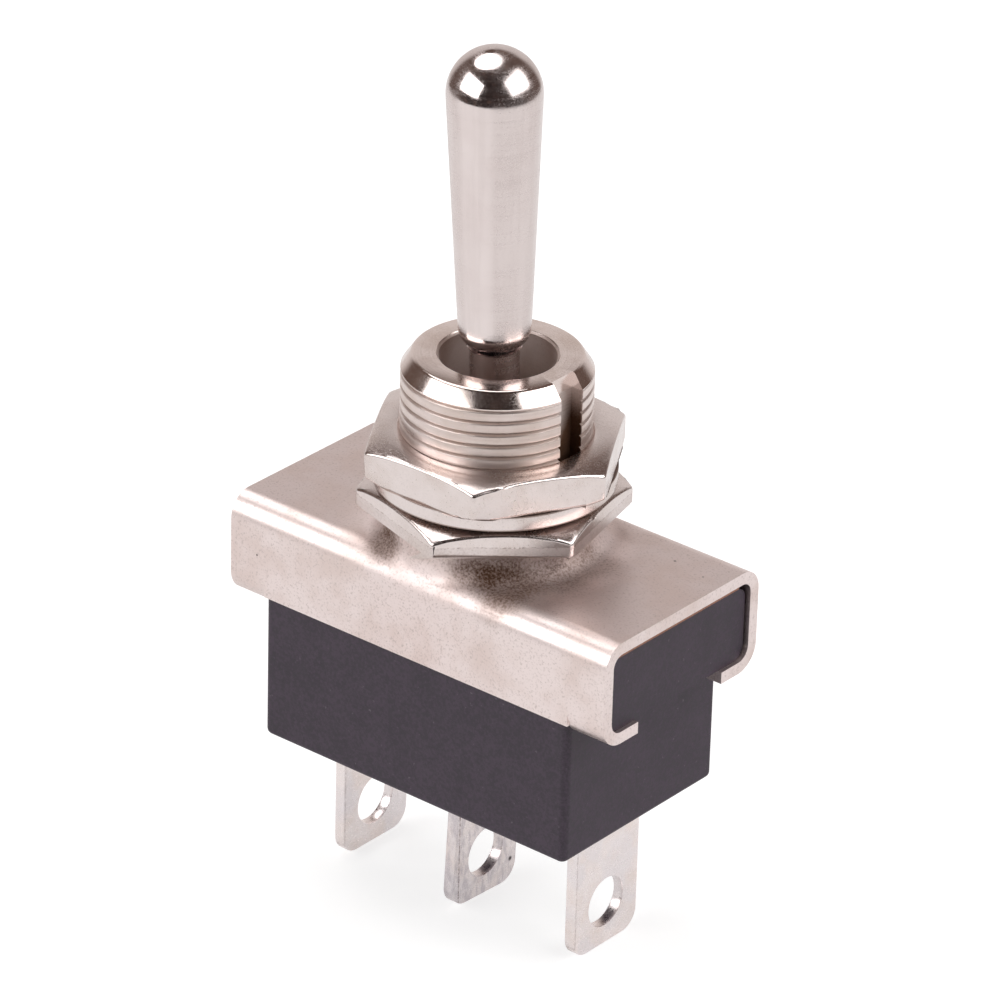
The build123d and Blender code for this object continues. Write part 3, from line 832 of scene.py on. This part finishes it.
def make_washer():
    """Flat keyed ring with eased rims, its tongue reaching into the keyway."""
    inner = THREAD_R + 0.05
    height = FRONT_NUT_BOTTOM - WASHER_BOTTOM
    top = WASHER_BOTTOM + height
    ring = [(inner, WASHER_BOTTOM), (WASHER_R, WASHER_BOTTOM), (WASHER_R, top), (inner, top)]
    piece = turn("keyed_ring", ring + [ring[0]])
    half = TONGUE_WIDTH / 2
    tongue = block(
        "tongue",
        (KEYWAY_FLOOR_R + 0.08, -half, WASHER_BOTTOM + 0.01),
        (inner + 0.6, half, top - 0.01),
    )
    machine(piece, tongue, "UNION")
    round_edges(piece, 0.11, 3, 40)
    weld(piece, 0.001)
    return smooth(piece, 30)


front = make_nut("front_hex_nut", FRONT_NUT_BOTTOM, 0.0, 0.5, FRONT_NUT_UNDER_R, ACROSS_FLATS / 2)
fit(front, "front_nut", "housing", nut_nickel)
back = make_nut("back_hex_nut", BOSS_TOP, WASHER_BOTTOM, 43.3, NUT_CORNER_R, BACK_NUT_TOP_R)
fit(back, "back_nut", "housing", nut_nickel)
fit(make_washer(), "keyed_washer", "housing", nut_nickel)


# Frame, base and lugs

fit(from_solid("folded_frame", "frame", 0.07), "frame", "housing", frame_nickel)
fit(from_solid("moulded_base", "base", 0.12), "base", "housing", base_phenolic)
for side in ("left", "centre", "right"):
    lug = from_solid("lug_" + side, "terminal_" + side, 0.06)
    fit(lug, "terminal_" + side, "housing", lug_tin)


# Parts inside, which keep the CAD shapes

for node, finish in {
    "insulating_card": card_fibre,
    "cradle": rocker_brass,
    "rocker": rocker_brass,
    "fixed_contact_left": contact_silver,
    "fixed_contact_right": contact_silver,
    "moving_contact_left": contact_silver,
    "moving_contact_right": contact_silver,
    "pivot_pin": pin_steel,
    "plunger_spring": spring_steel,
    "plunger": plunger_nylon,
}.items():
    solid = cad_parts[node]
    if solid.material_slots:
        for place in solid.material_slots:
            place.material = finish
    else:
        solid.data.materials.append(finish)


# Studio: a white table, a paler backdrop behind it and three soft boxes in a dark room

TABLE_R = 240.0
TOWARDS_CAMERA = Vector((0.6295, -0.7769, 0.0))


def make_table():
    bpy.ops.object.select_all(action="DESELECT")
    bpy.ops.mesh.primitive_circle_add(
        vertices=96, radius=TABLE_R * MM, fill_type="NGON", location=(0, 0, FLOOR_Z * MM)
    )
    table = settle(named("table"))
    material = bpy.data.materials.new("white table")
    material.use_nodes = True
    tree = material.node_tree
    tree.nodes.clear()
    seen = add(tree, "ShaderNodeLightPath")
    rays = plus(tree, seen.outputs["Is Camera Ray"], seen.outputs["Is Glossy Ray"])
    rays = plus(tree, rays, seen.outputs["Is Transmission Ray"])
    paper = add(tree, "ShaderNodeBsdfDiffuse", {"Color": (0.8, 0.8, 0.8, 1)})
    shaded = add(tree, "ShaderNodeBsdfDiffuse", {"Color": (0.42, 0.42, 0.42, 1)})
    lift = spread(tree, seen.outputs["Is Camera Ray"], 0, 1, 0.5, 0.72)
    glow = add(tree, "ShaderNodeEmission", {"Color": (1, 1, 1, 1), "Strength": lift})
    both = add(tree, "ShaderNodeAddShader", {0: shaded.outputs[0], 1: glow.outputs[0]})
    surface = add(tree, "ShaderNodeMixShader", {0: rays, 1: paper.outputs[0], 2: both.outputs[0]})
    out = add(tree, "ShaderNodeOutputMaterial")
    tree.links.new(surface.outputs[0], out.inputs["Surface"])
    table.data.materials.append(material)


def make_room():
    """White to the camera; to the metal, a dark warm room with a white backdrop behind."""
    world = bpy.data.worlds.new("product table")
    bpy.context.scene.world = world
    world.use_nodes = True
    tree = world.node_tree
    tree.nodes.clear()
    towards = add(tree, "ShaderNodeTexCoord").outputs["Generated"]
    behind = tuple(-TOWARDS_CAMERA)
    back = add(tree, "ShaderNodeVectorMath", {0: towards, 1: behind}, operation="DOT_PRODUCT").outputs["Value"]
    up = add(tree, "ShaderNodeSeparateXYZ", {0: towards}).outputs[2]
    backdrop = times(tree, spread(tree, back, 0.66, 0.86, 0, 1), spread(tree, up, 0.46, 0.56, 1, 0))
    clutter = speckle(tree, towards, 7.0, 5.0, 0.75)
    shade = plus(tree, spread(tree, back, -0.7, 0.6, 0, 0.5), spread(tree, clutter, 0.5, 0.7, 0, 0.7))
    room = blend_colour(tree, shade, (0.026, 0.018, 0.017), (0.21, 0.14, 0.115))
    studio = blend_colour(tree, backdrop, room, (0.74, 0.69, 0.67))
    seen = add(tree, "ShaderNodeLightPath")
    lit = blend_colour(tree, seen.outputs["Is Camera Ray"], studio, (1, 1, 1))
    sky = add(tree, "ShaderNodeBackground", {"Color": lit, "Strength": 1.0})
    out = add(tree, "ShaderNodeOutputWorld")
    tree.links.new(sky.outputs[0], out.inputs["Surface"])


def soft_box(name, azimuth, elevation, distance, width, height, power, shape="RECTANGLE"):
    """An upright soft box facing the object, its azimuth counted from the camera's."""
    turned = radians(azimuth)
    sideways = Vector((0.7769, 0.6295, 0.0))
    level = cos(turned) * TOWARDS_CAMERA + sin(turned) * sideways
    direction = cos(radians(elevation)) * level + Vector((0, 0, sin(radians(elevation))))
    lamp = bpy.data.lights.new(name, "AREA")
    lamp.shape = shape
    lamp.size = width
    lamp.size_y = height
    lamp.energy = power
    box = bpy.data.objects.new(name, lamp)
    bpy.context.scene.collection.objects.link(box)
    box.location = direction * distance
    box.rotation_euler = (-direction).to_track_quat("-Z", "Y").to_euler()
    box.visible_camera = False


make_table()
make_room()
soft_box("top box", -142, 70, 0.63, 0.54, 0.60, 2.0, "ELLIPSE")
soft_box("left box", -66, 26, 0.62, 0.64, 0.40, 2.7)
soft_box("right box", 70, 34, 0.62, 0.64, 0.44, 2.8)


# Camera

lens = bpy.data.cameras.new("camera")
lens.sensor_width = 36.0
lens.lens = 228.595
lens.clip_start = 0.01
lens.clip_end = 20.0
camera = bpy.data.objects.new("camera", lens)
bpy.context.scene.collection.objects.link(camera)
camera.matrix_world = Matrix(
    (
        (0.76893254, -0.3120962, 0.55797733, 0.21711336),
        (0.6388601, 0.34163495, -0.68930641, -0.26794646),
        (0.02450536, 0.88649959, 0.46208004, 0.17476107),
        (0, 0, 0, 1),
    )
)
bpy.context.scene.camera = camera
bpy.context.scene.view_settings.view_transform = "Standard"
